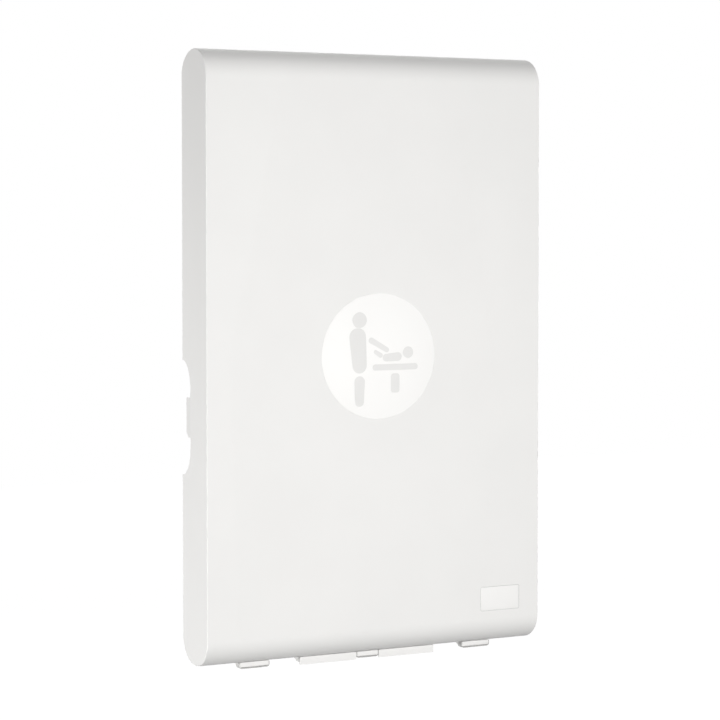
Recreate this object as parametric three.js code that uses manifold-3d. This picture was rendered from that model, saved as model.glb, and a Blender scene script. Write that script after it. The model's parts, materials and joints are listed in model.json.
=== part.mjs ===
// Vertical fold-down baby changing station, closed against its wall. Millimetres, +Z up.
// X runs to the right seen from the front, and the front faces -Y.
// The origin lies on the wall plane, at the middle of the bed's height and width.
import * as THREE from 'three';
import { mergeVertices } from 'three/addons/utils/BufferGeometryUtils.js';
import Module from 'manifold-3d';

const wasm = await Module();
wasm.setup();

// Clearances
const FIT = 0.3; // between pieces that seat on or turn in each other
const OVERCUT = 2; // how far a cutting tool runs past the face it opens

// Bed shell
const BED_WIDTH = 540;
const BED_HEIGHT = 880;
const BED_DEPTH = 93;
const BED_END_RISE = 35; // height of each half-elliptical end
const BED_WALL = 4.5;
const BED_EDGE_RADIUS = 2;
const BED_TO_WALL = 3; // air between the closed bed and the wall

// Side notches for fingers and strap
const NOTCH_DEPTH = 30.5;
const NOTCH_LENGTH = 165;
const NOTCH_CENTRE = 353; // above the bed's bottom
const NOTCH_END_RISE = 42; // height of each quarter-elliptical end

// Changing tray
const TRAY_WALL = 4;
const TRAY_SINK = 33; // rim below the bed's rear edge
const DISH_SIDE = 45; // border beside the dish, from the bed's side
const DISH_LOW = 75; // border below the dish, from the bed's bottom
const DISH_HIGH = 80; // border above the dish, from the bed's top
const DISH_CORNER = 70;
const DISH_DEPTH = 38;
const DISH_SLOPE = 56; // run of the dish's curved side
const SPACER_RADIUS = 16;
const SPACER_INSET = 115; // spacers from the dish's edge

// Back panel
const PANEL_SIDE = 30; // panel's edge inside the bed's side
const PANEL_LOW = 60; // lower edge above the bed's bottom
const PANEL_HIGH = 44; // upper edge below the bed's top
const PANEL_DEPTH = 26;
const PANEL_WALL = 3;
const PANEL_CORNER = 42;
const PANEL_DRAFT = 3;
const PANEL_EDGE = 6;
const PANEL_RIB = 4;
const PANEL_PAD_RADIUS = 45;
const PANEL_BOSS_RADIUS = 13;
const PANEL_SCREW_SIDE = 50; // screws inside the panel's side
const PANEL_SCREW_LOW = 100; // lower screws above the panel's lower edge
const PANEL_SCREW_HIGH = 66; // upper screws below the panel's upper edge
const PANEL_RECESS_RADIUS = 9;
const PANEL_RECESS_DEPTH = 7;

// Hinge
const HINGE_OFFSET = 13.5; // axis in front of the wall
const HINGE_RISE = 2.4; // axis above the bed's bottom
const KNUCKLE_RADIUS = 7.6;
const PIN_RADIUS = 3;
const PIN_HEAD_RADIUS = 5;
const PIN_HEAD = 2.5;
const BUSH_WALL = 1.1;
const BUSH_LENGTH = 12;
const BUSH_FLANGE = 1;
const BUSH_FLANGE_RADIUS = 6.4;
const EAR = 4;
const LEAF = 2;
const LEAF_MARGIN = 7; // leaf beyond the ears
const LEAF_CORNER = 6;
const LEAF_DROP = 6; // leaf below the bed's bottom
const LEAF_TOP = 125; // leaf above the bed's bottom
const LEAF_SCREW_RISE = 95;
const LEAF_SCREW_SPREAD = 22;

// Hinge arms
const ARM_INSET = 88; // centre of an outer arm from the bed's side
const ARM_WIDTH = 45;
const CENTRE_ARM_WIDTH = 34;
const TOE_FRONT = 60; // front of the toes in front of the wall
const TOE_DROP = 7.5; // toes below the bed's bottom
const TOE_LENGTH = 22;
const TOE_HEEL_DROP = 3.2;
const TOE_ROUND = 3;
const HEEL_GAP = 1.5; // from the knuckle to where the arm leaves the bed
const PAD = 1.1; // rubber cap round each toe
const PAD_LENGTH = 12;

// Rotary dampers
const DAMPER_START = 36;
const DAMPER_LENGTH = 58;
const DAMPER_RADIUS = 7.6;
const DAMPER_SHAFT_RADIUS = 3;
const DAMPER_SHAFT_FLAT = 0.7; // share of the radius that the shaft's flat keeps
const DAMPER_SHAFT_SEAT = 20;
const RAIL_WIDTH = 220;
const RAIL_THICKNESS = 2.5;
const RAIL_BACK = 32; // rear edge of the rail in front of the wall
const LUG = 6;

// Wall screws
const SCREW_RADIUS = 2.9;
const SCREW_HEAD_RADIUS = 6;
const SCREW_HEAD = 3.6;

// Closing hardware
const BUMPER_RADIUS = 9;
const BUMPER_X = 150;
const BUMPER_DROP = 20; // bumpers and catch below the panel's upper edge
const CATCH_WIDTH = 62;
const CATCH_HEIGHT = 16;
const CATCH_DEPTH = 6;
const CATCH_EDGE = 1;
const KEEPER = 2;

// Strap and buckle
const STRAP_WIDTH = 50;
const STRAP = 1.6;
const STRAP_SAG = 30;
const STRAP_STEPS = 16;
const ANCHOR = 4;
const ANCHOR_WIDTH = 57;
const ANCHOR_FOOT = 28;
const ANCHOR_SETBACK = 4; // tab short of the bed's rear edge
const ANCHOR_CHAMFER = 7;
const BUCKLE_LENGTH = 58;
const BUCKLE_PLATE = 2.5;
const BUCKLE_CHEEK = 3;
const BUCKLE_RISE = 12;
const STRAP_MEETING = 2; // gap between the strap halves inside the buckle
const LEVER_PIVOT_X = 14;
const LEVER_PIVOT_RISE = 6;
const LEVER_HUB = 4;
const LEVER_LENGTH = 30;
const LEVER_PLATE = 3;
const LEVER_PIN_RADIUS = 1.8;

// Facets
const BED_STEPS = 14;
const ROUND_STEPS = 7;
const SMALL_STEPS = 2;
const EDGE_STEPS = 3;
const CORNER_STEPS = 6;
const BOWL_STEPS = 4;

// Places that several pieces share
const bedBack = -BED_TO_WALL;
const bedFront = bedBack - BED_DEPTH;
const bedMid = (bedBack + bedFront) / 2;
const bedBottom = -BED_HEIGHT / 2;
const bedTop = BED_HEIGHT / 2;
const shellInner = BED_WIDTH / 2 - BED_WALL;
const rimY = bedBack - TRAY_SINK;
const dishFloor = rimY - DISH_DEPTH;
const dishHalf = BED_WIDTH / 2 - DISH_SIDE;
const dishLow = bedBottom + DISH_LOW;
const dishHigh = bedTop - DISH_HIGH;
const notchZ = bedBottom + NOTCH_CENTRE;
const panelHalf = BED_WIDTH / 2 - PANEL_SIDE;
const panelLow = bedBottom + PANEL_LOW;
const panelHigh = bedTop - PANEL_HIGH;
const axisY = -HINGE_OFFSET;
const axisZ = bedBottom + HINGE_RISE;
const toeFront = -TOE_FRONT;
const toeLow = bedBottom - TOE_DROP;
const bushOuter = PIN_RADIUS + FIT + BUSH_WALL;
const earGap = BUSH_FLANGE + 2 * FIT;
const leafLow = bedBottom - LEAF_DROP;
const leafHigh = bedBottom + LEAF_TOP;
const catchZ = panelHigh - BUMPER_DROP;
const strapY = rimY + FIT + ANCHOR + FIT + STRAP / 2;
const buckleY = strapY - STRAP_SAG;

// Solids from three.js geometry
function toSolid(geometry) {
  const bare = geometry.index ? geometry.toNonIndexed() : geometry;
  bare.deleteAttribute('normal');
  bare.deleteAttribute('uv');
  const merged = mergeVertices(bare, 1e-4);
  const corners = merged.index.array;
  const kept = [];
  for (let i = 0; i < corners.length; i += 3) {
    const [a, b, c] = [corners[i], corners[i + 1], corners[i + 2]];
    if (a !== b && b !== c && c !== a) kept.push(a, b, c);
  }
  return new wasm.Manifold(new wasm.Mesh({
    numProp: 3,
    vertProperties: new Float32Array(merged.attributes.position.array),
    triVerts: new Uint32Array(kept),
  }));
}

function extrude(shape, length, edge, steps) {
  return new THREE.ExtrudeGeometry(shape, {
    depth: length - 2 * edge,
    curveSegments: steps,
    bevelEnabled: edge > 0,
    bevelThickness: edge,
    bevelSize: edge,
    bevelOffset: -edge,
    bevelSegments: EDGE_STEPS,
  }).translate(0, 0, edge);
}

// A section drawn in (y, z), swept from one x to another.
function alongX(shape, from, to, edge = 0, steps = ROUND_STEPS) {
  const turn = new THREE.Matrix4().set(0, 0, 1, from, 1, 0, 0, 0, 0, 1, 0, 0, 0, 0, 0, 1);
  return toSolid(extrude(shape, to - from, edge, steps).applyMatrix4(turn));
}

// A section drawn in (x, z), swept towards the front from one y to a lower one.
function towardsFront(shape, from, to, edge = 0, steps = ROUND_STEPS) {
  const turn = new THREE.Matrix4().set(1, 0, 0, 0, 0, 0, -1, from, 0, 1, 0, 0, 0, 0, 0, 1);
  return toSolid(extrude(shape, from - to, edge, steps).applyMatrix4(turn));
}

// A section drawn in (x, y), swept up from one z to a higher one.
function upwards(shape, from, to, edge = 0, steps = ROUND_STEPS) {
  return toSolid(extrude(shape, to - from, edge, steps).translate(0, 0, from));
}

function box(x0, x1, y0, y1, z0, z1) {
  const geometry = new THREE.BoxGeometry(x1 - x0, y1 - y0, z1 - z0);
  return toSolid(geometry.translate((x0 + x1) / 2, (y0 + y1) / 2, (z0 + z1) / 2));
}

function disc(u, v, radius) {
  return new THREE.Shape().absarc(u, v, radius, 0, 2 * Math.PI, false);
}

function roundedRectangle(u0, u1, v0, v1, radius) {
  const shape = new THREE.Shape();
  shape.absarc(u1 - radius, v0 + radius, radius, -Math.PI / 2, 0, false);
  shape.absarc(u1 - radius, v1 - radius, radius, 0, Math.PI / 2, false);
  shape.absarc(u0 + radius, v1 - radius, radius, Math.PI / 2, Math.PI, false);
  shape.absarc(u0 + radius, v0 + radius, radius, Math.PI, 1.5 * Math.PI, false);
  shape.closePath();
  return shape;
}

// A rod along X on the hinge axis.
function axisRod(radius, from, to) {
  return alongX(disc(axisY, axisZ, radius), from, to);
}

// A piece turned about a line along Y: profile points are (radius, distance in front of y).
function turned(profile, x, y, z) {
  const points = profile.map(([radius, reach]) => new THREE.Vector2(radius, reach));
  const geometry = new THREE.LatheGeometry(points, 2 * ROUND_STEPS);
  return toSolid(geometry.rotateX(Math.PI).translate(x, y, z));
}

// A skin through rounded rectangles { half, low, high, corner, y }, from the wall towards the front.
function loft(sections) {
  const positions = [];
  const triangles = [];
  const count = 4 * (CORNER_STEPS + 1);
  for (const { half, low, high, corner, y } of sections) {
    const centres = [
      [half - corner, low + corner],
      [half - corner, high - corner],
      [corner - half, high - corner],
      [corner - half, low + corner],
    ];
    centres.forEach(([x, z], quarter) => {
      for (let step = 0; step <= CORNER_STEPS; step += 1) {
        const angle = (Math.PI / 2) * (quarter - 1 + step / CORNER_STEPS);
        positions.push(x + corner * Math.cos(angle), y, z + corner * Math.sin(angle));
      }
    });
  }
  for (let ring = 0; ring + 1 < sections.length; ring += 1) {
    for (let i = 0; i < count; i += 1) {
      const a = ring * count + i;
      const b = ring * count + ((i + 1) % count);
      triangles.push(a, b, b + count, a, b + count, a + count);
    }
  }
  const last = (sections.length - 1) * count;
  for (let i = 1; i + 1 < count; i += 1) {
    triangles.push(0, i + 1, i);
    triangles.push(last, last + i, last + i + 1);
  }
  const geometry = new THREE.BufferGeometry();
  geometry.setAttribute('position', new THREE.Float32BufferAttribute(positions, 3));
  geometry.setIndex(triangles);
  return toSolid(geometry);
}

// Finishes
const finish = {
  polyethylene: { color: 0xf0f0ee, roughness: 0.5, metalness: 0 },
  nylon: { color: 0xdcdcda, roughness: 0.55, metalness: 0 },
  steel: { color: 0xb9bcbf, roughness: 0.35, metalness: 0.9 },
  painted: { color: 0xe9e9e7, roughness: 0.4, metalness: 0.1 },
  bronze: { color: 0xb08a4e, roughness: 0.4, metalness: 0.9 },
  rubber: { color: 0x4a4b4d, roughness: 0.85, metalness: 0 },
  webbing: { color: 0x5f6469, roughness: 0.9, metalness: 0 },
  damper: { color: 0x3a3b3d, roughness: 0.45, metalness: 0.2 },
};

const station = new THREE.Group();
const wallSide = new THREE.Group();
const bedSide = new THREE.Group();
station.add(wallSide, bedSide);

function addPiece(group, name, solid, look) {
  const { vertProperties, triVerts, numProp } = solid.getMesh();
  const geometry = new THREE.BufferGeometry();
  const source = new THREE.InterleavedBuffer(vertProperties, numProp);
  const positions = new Float32Array((vertProperties.length / numProp) * 3);
  for (let i = 0; i < source.count; i += 1) {
    positions.set(vertProperties.subarray(i * numProp, i * numProp + 3), i * 3);
  }
  geometry.setAttribute('position', new THREE.BufferAttribute(positions, 3));
  geometry.setIndex(new THREE.BufferAttribute(new Uint32Array(triVerts), 1));
  geometry.computeVertexNormals();
  const mesh = new THREE.Mesh(geometry, new THREE.MeshStandardMaterial(finish[look]));
  mesh.name = name;
  group.add(mesh);
}

// Bed shell: a stadium section with half-elliptical ends, hollowed and open towards the wall
function bedOutline(inset) {
  const depth = BED_DEPTH / 2 - inset;
  const rise = BED_END_RISE - inset;
  const shape = new THREE.Shape();
  shape.absellipse(bedMid, bedBottom + BED_END_RISE, depth, rise, Math.PI, 2 * Math.PI, false, 0);
  shape.absellipse(bedMid, bedTop - BED_END_RISE, depth, rise, 0, Math.PI, false, 0);
  shape.closePath();
  return shape;
}

function notchOutline() {
  const low = notchZ - NOTCH_LENGTH / 2;
  const high = notchZ + NOTCH_LENGTH / 2;
  const shape = new THREE.Shape();
  shape.moveTo(bedBack + OVERCUT, low);
  shape.lineTo(bedBack, low);
  shape.absellipse(bedBack, low + NOTCH_END_RISE, NOTCH_DEPTH, NOTCH_END_RISE,
    1.5 * Math.PI, Math.PI, true, 0);
  shape.absellipse(bedBack, high - NOTCH_END_RISE, NOTCH_DEPTH, NOTCH_END_RISE,
    Math.PI, Math.PI / 2, true, 0);
  shape.lineTo(bedBack + OVERCUT, high);
  shape.closePath();
  return shape;
}

function bedShell() {
  const outer = alongX(bedOutline(0), -BED_WIDTH / 2, BED_WIDTH / 2, BED_EDGE_RADIUS, BED_STEPS);
  const cavity = alongX(bedOutline(BED_WALL), -shellInner, shellInner, 0, BED_STEPS);
  const mouth = box(-shellInner, shellInner, bedMid, bedBack + OVERCUT,
    bedBottom + BED_END_RISE, bedTop - BED_END_RISE);
  const notches = alongX(notchOutline(), -BED_WIDTH / 2 - OVERCUT, BED_WIDTH / 2 + OVERCUT);
  return outer.subtract(cavity).subtract(mouth).subtract(notches);
}
addPiece(bedSide, 'bed_shell', bedShell(), 'polyethylene');

// Changing tray: a flat border across the shell around a bowl-sided dish
function cavityLow(y) {
  const depth = BED_DEPTH / 2 - BED_WALL;
  const share = (y - bedMid) / depth;
  return bedBottom + BED_END_RISE - (BED_END_RISE - BED_WALL) * Math.sqrt(1 - share * share);
}

function dish(grow, depth) {
  const sections = [];
  for (let step = 0; step <= BOWL_STEPS; step += 1) {
    const turn = (Math.PI / 2) * (step / BOWL_STEPS);
    const inset = DISH_SLOPE * (1 - Math.cos(turn)) - grow;
    sections.push({
      half: dishHalf - inset,
      low: dishLow + inset,
      high: dishHigh - inset,
      corner: DISH_CORNER - inset,
      y: rimY - depth * Math.sin(turn),
    });
  }
  return sections;
}

function bedTray() {
  const low = cavityLow(rimY) + FIT;
  let tray = box(FIT - shellInner, shellInner - FIT, rimY - TRAY_WALL, rimY, low, -low);
  tray = tray.add(loft(dish(TRAY_WALL, DISH_DEPTH + TRAY_WALL)));
  const bowl = dish(0, DISH_DEPTH);
  tray = tray.subtract(loft([{ ...bowl[0], y: rimY + OVERCUT }, ...bowl]));
  return tray;
}
addPiece(bedSide, 'bed_tray', bedTray(), 'polyethylene');

// Spacers between the dish and the shell's front wall
const spacerX = dishHalf - SPACER_INSET;
const [spacerLow, spacerHigh] = [dishLow + SPACER_INSET, dishHigh - SPACER_INSET];
for (const [x, hand] of [[-spacerX, 'left'], [spacerX, 'right']]) {
  [spacerLow, (spacerLow + spacerHigh) / 2, spacerHigh].forEach((z, row) => {
    const spacer = towardsFront(disc(x, z, SPACER_RADIUS),
      dishFloor - TRAY_WALL - FIT, bedFront + BED_WALL + FIT);
    addPiece(bedSide, `tray_spacer_${hand}_${row + 1}`, spacer, 'rubber');
  });
}

// Back panel: a shallow moulded cover, open towards the wall, with ribs, a pad and screw bosses
function panelSkin(inset) {
  const section = (shrink, y) => ({
    half: panelHalf - inset - shrink,
    low: panelLow + inset + shrink,
    high: panelHigh - inset - shrink,
    corner: PANEL_CORNER - inset - shrink,
    y,
  });
  const front = inset - PANEL_DEPTH;
  const sections = [section(0, inset > 0 ? OVERCUT : 0)];
  for (let step = 0; step <= EDGE_STEPS; step += 1) {
    const turn = (Math.PI / 2) * (step / EDGE_STEPS);
    const shrink = PANEL_DRAFT + PANEL_EDGE * (1 - Math.cos(turn));
    sections.push(section(shrink, front + PANEL_EDGE * (1 - Math.sin(turn))));
  }
  return loft(sections);
}

const panelScrews = [];
for (const [side, hand] of [[-1, 'left'], [1, 'right']]) {
  const x = side * (panelHalf - PANEL_SCREW_SIDE);
  panelScrews.push({ name: `lower_${hand}`, x, z: panelLow + PANEL_SCREW_LOW });
  panelScrews.push({ name: `upper_${hand}`, x, z: panelHigh - PANEL_SCREW_HIGH });
}

const armX = BED_WIDTH / 2 - ARM_INSET;
const hinges = [
  { name: 'left', x: -armX, width: ARM_WIDTH, leaf: 0 },
  { name: 'centre', x: 0, width: CENTRE_ARM_WIDTH, leaf: DAMPER_START + DAMPER_LENGTH },
  { name: 'right', x: armX, width: ARM_WIDTH, leaf: 0 },
];
for (const hinge of hinges) {
  hinge.ear = hinge.width / 2 + earGap;
  hinge.leaf = Math.max(hinge.leaf, hinge.ear + EAR + LEAF_MARGIN);
}

function backPanel() {
  const front = -PANEL_DEPTH;
  const inside = front + PANEL_WALL / 2;
  const flank = panelHalf - PANEL_WALL / 2;
  let panel = panelSkin(0).subtract(panelSkin(PANEL_WALL));
  const rib = PANEL_RIB / 2;
  panel = panel.add(box(-rib, rib, inside, 0, panelLow + PANEL_WALL, panelHigh - PANEL_WALL)
    .intersect(panelSkin(0)));
  panel = panel.add(box(-flank, flank, inside, 0, -rib, rib).intersect(panelSkin(0)));
  panel = panel.add(towardsFront(disc(0, 0, PANEL_PAD_RADIUS), 0, -PANEL_WALL));
  for (const { x, z } of panelScrews) {
    panel = panel.add(towardsFront(disc(x, z, PANEL_BOSS_RADIUS), 0, inside));
    panel = panel.subtract(towardsFront(disc(x, z, SCREW_RADIUS + FIT), OVERCUT, front - OVERCUT));
    panel = panel.subtract(towardsFront(disc(x, z, PANEL_RECESS_RADIUS),
      front + PANEL_RECESS_DEPTH, front - OVERCUT));
  }
  for (const { x, leaf } of hinges) {
    panel = panel.subtract(box(x - leaf - FIT, x + leaf + FIT, -LEAF - FIT, OVERCUT,
      panelLow - OVERCUT, leafHigh + FIT));
  }
  return panel;
}
addPiece(wallSide, 'back_panel', backPanel(), 'polyethylene');

// Wall screws: a round shank and a domed head, ending at the wall plane
function wallScrew(x, z, seat) {
  const length = -seat - FIT;
  return turned([
    [0, 0],
    [SCREW_RADIUS, 0],
    [SCREW_RADIUS, length + FIT],
    [SCREW_HEAD_RADIUS, length + FIT],
    [SCREW_HEAD_RADIUS, length + FIT + SCREW_HEAD / 3],
    [SCREW_HEAD_RADIUS * 0.7, length + FIT + SCREW_HEAD * 0.85],
    [0, length + FIT + SCREW_HEAD],
  ], x, -FIT, z);
}
for (const { name, x, z } of panelScrews) {
  addPiece(wallSide, `panel_screw_${name}`, wallScrew(x, z, PANEL_RECESS_DEPTH - PANEL_DEPTH), 'steel');
}

// Hinge brackets, pins and bushes
function earOutline() {
  const shape = new THREE.Shape();
  shape.moveTo(0, axisZ + KNUCKLE_RADIUS);
  shape.lineTo(axisY, axisZ + KNUCKLE_RADIUS);
  shape.absarc(axisY, axisZ, KNUCKLE_RADIUS, Math.PI / 2, 1.5 * Math.PI, false);
  shape.lineTo(0, axisZ - KNUCKLE_RADIUS);
  shape.closePath();
  return shape;
}

function hingeBracket({ x, ear, leaf }) {
  const bore = axisRod(PIN_RADIUS + FIT, x - ear - EAR - OVERCUT, x + ear + EAR + OVERCUT);
  const plan = roundedRectangle(x - leaf, x + leaf, leafLow, leafHigh, LEAF_CORNER);
  let bracket = towardsFront(plan, 0, -LEAF, 0, EDGE_STEPS);
  for (const start of [x - ear - EAR, x + ear]) {
    bracket = bracket.add(alongX(earOutline(), start, start + EAR));
  }
  for (const side of [-1, 1]) {
    const hole = disc(x + side * LEAF_SCREW_SPREAD, bedBottom + LEAF_SCREW_RISE, SCREW_RADIUS + FIT);
    bracket = bracket.subtract(towardsFront(hole, OVERCUT, -LEAF - OVERCUT));
  }
  return bracket.subtract(bore);
}

function hingePin({ x, ear }) {
  const reach = ear + EAR + FIT;
  const head = axisRod(PIN_HEAD_RADIUS, x + reach, x + reach + PIN_HEAD);
  return axisRod(PIN_RADIUS, x - reach - FIT, x + reach + PIN_HEAD / 2).add(head);
}

function bush({ x, width }, side) {
  const face = width / 2 + FIT;
  const sleeve = (radius, from, to) => {
    const ends = [x + side * from, x + side * to];
    return axisRod(radius, Math.min(...ends), Math.max(...ends));
  };
  return sleeve(bushOuter, face - BUSH_LENGTH, face)
    .add(sleeve(BUSH_FLANGE_RADIUS, face, face + BUSH_FLANGE))
    .subtract(sleeve(PIN_RADIUS + FIT, face - BUSH_LENGTH - OVERCUT, face + BUSH_FLANGE + OVERCUT));
}

// Hinge arms: they follow the bed's underside from the knuckle to a wedge-shaped toe
function underBed(offset, y) {
  return -Math.acos((y - bedMid) / (BED_DEPTH / 2 + offset));
}

function armOutline() {
  const depth = BED_DEPTH / 2 + FIT;
  const rise = BED_END_RISE + FIT;
  const heel = axisY - KNUCKLE_RADIUS - HEEL_GAP;
  const shape = new THREE.Shape();
  shape.absellipse(bedMid, bedBottom + BED_END_RISE, depth, rise,
    underBed(FIT, toeFront), underBed(FIT, heel), false, 0);
  shape.absarc(axisY, axisZ, KNUCKLE_RADIUS, Math.PI * 5 / 6, -Math.PI * 2 / 3, true);
  shape.lineTo(toeFront + TOE_LENGTH, bedBottom - TOE_HEEL_DROP);
  shape.lineTo(toeFront + PAD_LENGTH, toeLow);
  shape.lineTo(toeFront + TOE_ROUND, toeLow);
  shape.quadraticCurveTo(toeFront, toeLow, toeFront, toeLow + TOE_ROUND);
  shape.closePath();
  return shape;
}

function hingeArm({ x, width }) {
  const half = width / 2;
  const arm = alongX(armOutline(), x - half, x + half);
  const plan = roundedRectangle(x - half, x + half, toeLow, bedBottom + BED_END_RISE, TOE_ROUND);
  const bore = axisRod(bushOuter + FIT, x - half - OVERCUT, x + half + OVERCUT);
  return arm.intersect(towardsFront(plan, 0, toeFront - OVERCUT, 0, SMALL_STEPS)).subtract(bore);
}

// Rubber caps: a thin channel round the sides and the bottom of each toe
function toePad({ x, width }) {
  const half = width / 2;
  const rim = (grow) => roundedRectangle(x - half - grow, x + half + grow,
    toeLow - grow, bedBottom + BED_END_RISE, TOE_ROUND + grow);
  const back = toeFront + PAD_LENGTH;
  const above = box(x - width, x + width, toeFront - OVERCUT, back + OVERCUT,
    bedBottom - FIT, bedBottom + 2 * BED_END_RISE);
  return towardsFront(rim(FIT + PAD), back, toeFront, 0, EDGE_STEPS)
    .subtract(towardsFront(rim(FIT), back + OVERCUT, toeFront - OVERCUT, 0, EDGE_STEPS))
    .subtract(above);
}

for (const hinge of hinges) {
  addPiece(wallSide, `hinge_bracket_${hinge.name}`, hingeBracket(hinge), 'painted');
  addPiece(wallSide, `hinge_pin_${hinge.name}`, hingePin(hinge), 'steel');
  for (const side of [-1, 1]) {
    const end = side > 0 ? 2 : 1;
    addPiece(bedSide, `bush_${hinge.name}_${end}`, bush(hinge, side), 'bronze');
    const screwX = hinge.x + side * LEAF_SCREW_SPREAD;
    const screw = wallScrew(screwX, bedBottom + LEAF_SCREW_RISE, -LEAF);
    addPiece(wallSide, `bracket_screw_${hinge.name}_${end}`, screw, 'steel');
  }
  addPiece(bedSide, `hinge_arm_${hinge.name}`, hingeArm(hinge), 'painted');
  addPiece(bedSide, `toe_pad_${hinge.name}`, toePad(hinge), 'rubber');
}

// Rotary dampers on the hinge axis, turned by the rail under the bed
function shaftOutline(radius) {
  const open = Math.acos(DAMPER_SHAFT_FLAT);
  const shape = new THREE.Shape();
  shape.absarc(axisY, axisZ, radius, open, 2 * Math.PI - open, false);
  shape.closePath();
  return shape;
}

function between(side, near, far) {
  return side > 0 ? [near, far] : [-far, -near];
}

const damperEnd = DAMPER_START + DAMPER_LENGTH;
const shaftStart = damperEnd - DAMPER_SHAFT_SEAT;

function damperBody(side) {
  const [from, to] = between(side, DAMPER_START, damperEnd);
  const foot = box(from, to, axisY, -LEAF - FIT, axisZ - DAMPER_RADIUS, axisZ + DAMPER_RADIUS);
  const seat = axisRod(DAMPER_SHAFT_RADIUS + FIT, ...between(side, shaftStart - FIT, damperEnd + OVERCUT));
  return axisRod(DAMPER_RADIUS, from, to).add(foot).subtract(seat);
}

function damperShaft(side) {
  return alongX(shaftOutline(DAMPER_SHAFT_RADIUS), ...between(side, shaftStart, RAIL_WIDTH / 2));
}

function railOutline() {
  const edge = FIT + RAIL_THICKNESS;
  const centreZ = bedBottom + BED_END_RISE;
  const low = axisZ - HINGE_OFFSET + FIT; // this edge meets the wall when the bed is level
  const shape = new THREE.Shape();
  shape.absellipse(bedMid, centreZ, BED_DEPTH / 2 + FIT, BED_END_RISE + FIT,
    underBed(FIT, toeFront), underBed(FIT, -RAIL_BACK), false, 0);
  shape.absellipse(bedMid, centreZ, BED_DEPTH / 2 + edge, BED_END_RISE + edge,
    underBed(edge, -RAIL_BACK), underBed(edge, toeFront + RAIL_THICKNESS), true, 0);
  shape.lineTo(toeFront + RAIL_THICKNESS, low);
  shape.lineTo(toeFront, low);
  shape.closePath();
  return shape;
}

// Each rail runs from the centre arm to a lug that grips the damper's shaft.
function damperRail(side) {
  const half = RAIL_WIDTH / 2;
  const lug = between(side, half - LUG, half);
  const start = CENTRE_ARM_WIDTH / 2 + FIT + PAD + FIT;
  return alongX(railOutline(), ...between(side, start, half))
    .add(alongX(armOutline(), ...lug))
    .subtract(alongX(shaftOutline(DAMPER_SHAFT_RADIUS + FIT), lug[0] - OVERCUT, lug[1] + OVERCUT));
}

for (const side of [-1, 1]) {
  const name = side > 0 ? 'right' : 'left';
  addPiece(wallSide, `damper_body_${name}`, damperBody(side), 'damper');
  addPiece(bedSide, `damper_shaft_${name}`, damperShaft(side), 'steel');
  addPiece(bedSide, `damper_rail_${name}`, damperRail(side), 'painted');
}

// Closing bumpers and magnetic catch on the panel, keeper plate on the tray's border
const panelFront = -PANEL_DEPTH - FIT;
const bumperReach = panelFront - rimY - FIT;
for (const side of [-1, 1]) {
  const bumper = turned([
    [0, 0],
    [BUMPER_RADIUS, 0],
    [BUMPER_RADIUS, bumperReach * 0.5],
    [BUMPER_RADIUS * 0.75, bumperReach * 0.88],
    [BUMPER_RADIUS * 0.4, bumperReach],
    [0, bumperReach],
  ], side * BUMPER_X, panelFront, catchZ);
  addPiece(wallSide, `closing_bumper_${side > 0 ? 'right' : 'left'}`, bumper, 'rubber');
}

function plate(width, height, from, to, edge) {
  const half = height / 2;
  const outline = roundedRectangle(-width / 2, width / 2, catchZ - half, catchZ + half, half / 2);
  return towardsFront(outline, from, to, edge, SMALL_STEPS);
}
const magnet = plate(CATCH_WIDTH, CATCH_HEIGHT, panelFront, panelFront - CATCH_DEPTH, CATCH_EDGE);
const keeper = plate(CATCH_WIDTH, CATCH_HEIGHT, rimY + FIT + KEEPER, rimY + FIT, 0);
addPiece(wallSide, 'catch_magnet', magnet, 'nylon');
addPiece(bedSide, 'catch_keeper', keeper, 'steel');

// Strap anchors: a tab standing in each notch on a foot that lies on the tray's border
function strapAnchor(side) {
  const wall = shellInner - FIT;
  const base = rimY + FIT;
  const tip = bedBack - ANCHOR_SETBACK;
  const [low, high] = [notchZ - ANCHOR_WIDTH / 2, notchZ + ANCHOR_WIDTH / 2];
  const tab = new THREE.Shape();
  tab.moveTo(base, low);
  tab.lineTo(tip - ANCHOR_CHAMFER, low);
  tab.lineTo(tip, low + ANCHOR_CHAMFER);
  tab.lineTo(tip, high);
  tab.lineTo(base, high);
  tab.closePath();
  const foot = between(side, wall - ANCHOR_FOOT, wall);
  return alongX(tab, ...between(side, wall - ANCHOR, wall))
    .add(box(...foot, base, base + ANCHOR, low, high));
}

// Strap halves: they leave the anchor's foot and sag into the dish to meet in the buckle
function strapHalf(side) {
  const start = shellInner - 2 * FIT - ANCHOR;
  const free = shellInner - FIT - ANCHOR_FOOT;
  const line = [[start, strapY]];
  for (let step = 0; step <= STRAP_STEPS; step += 1) {
    const x = free + (STRAP_MEETING / 2 - free) * (step / STRAP_STEPS);
    line.push([x, strapY - STRAP_SAG * (1 - (x / free) ** 2) ** 2]);
  }
  const shape = new THREE.Shape();
  shape.moveTo(side * start, strapY + STRAP / 2);
  line.slice(1).forEach(([x, y]) => shape.lineTo(side * x, y + STRAP / 2));
  [...line].reverse().forEach(([x, y]) => shape.lineTo(side * x, y - STRAP / 2));
  shape.closePath();
  return upwards(shape, notchZ - STRAP_WIDTH / 2, notchZ + STRAP_WIDTH / 2);
}

// Cam buckle: a channel under the strap with two cheeks, a pin across them and a lever with a cam
const cheekGap = STRAP_WIDTH / 2 + 2 * FIT;
const pivotY = buckleY + STRAP / 2 + LEVER_PIVOT_RISE;
const plateTop = buckleY - STRAP / 2 - FIT;

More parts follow.
